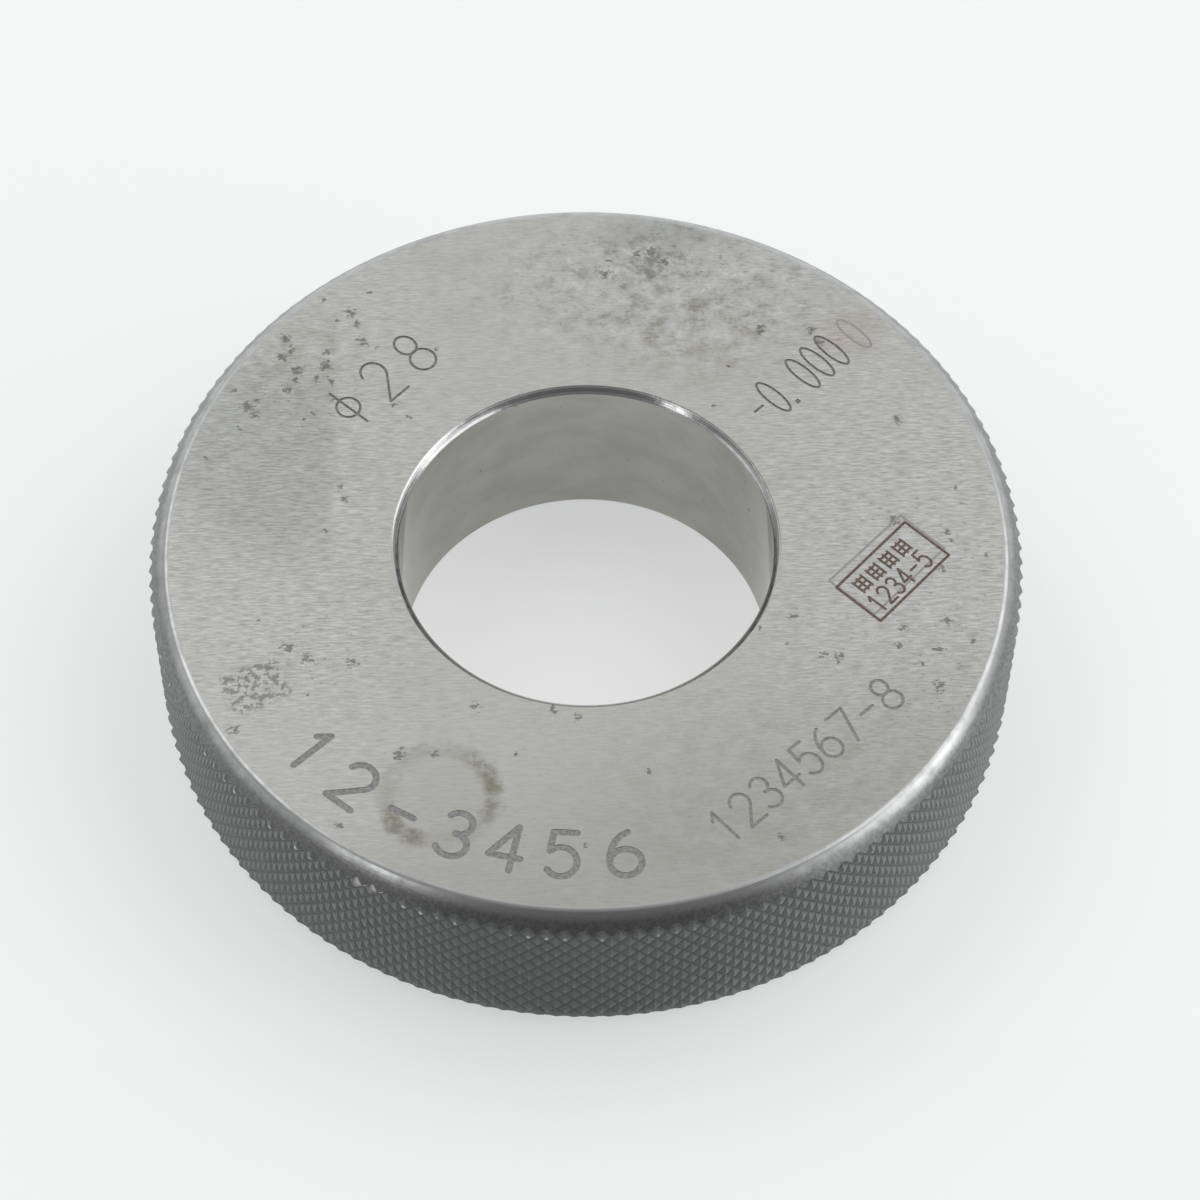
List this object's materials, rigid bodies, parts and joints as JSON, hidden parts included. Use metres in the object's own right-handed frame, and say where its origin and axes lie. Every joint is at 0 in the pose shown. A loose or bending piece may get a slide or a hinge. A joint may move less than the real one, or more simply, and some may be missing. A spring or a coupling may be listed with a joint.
{
  "type": "setting ring gauge",
  "caption": "Flat hardened steel ring with a lapped central bore, ground faces and a diamond-knurled rim, used to set and check bore gauges.",
  "frame": {"origin": "on the bore's axis, in the plane of the lower face that the ring rests on", "axes": "+Z along the bore's axis, from the lower face up to the marked face; -Y towards the viewer of the picture"},
  "size_m": [0.0652, 0.0652, 0.015],
  "materials": {
    "ground_steel": "surface-ground faces with fine straight lines, lapped bore, rolled diamond knurl left darker"
  },
  "bodies": {
    "root": {"gauge_ring": "ground_steel"}
  },
  "joints": []
}
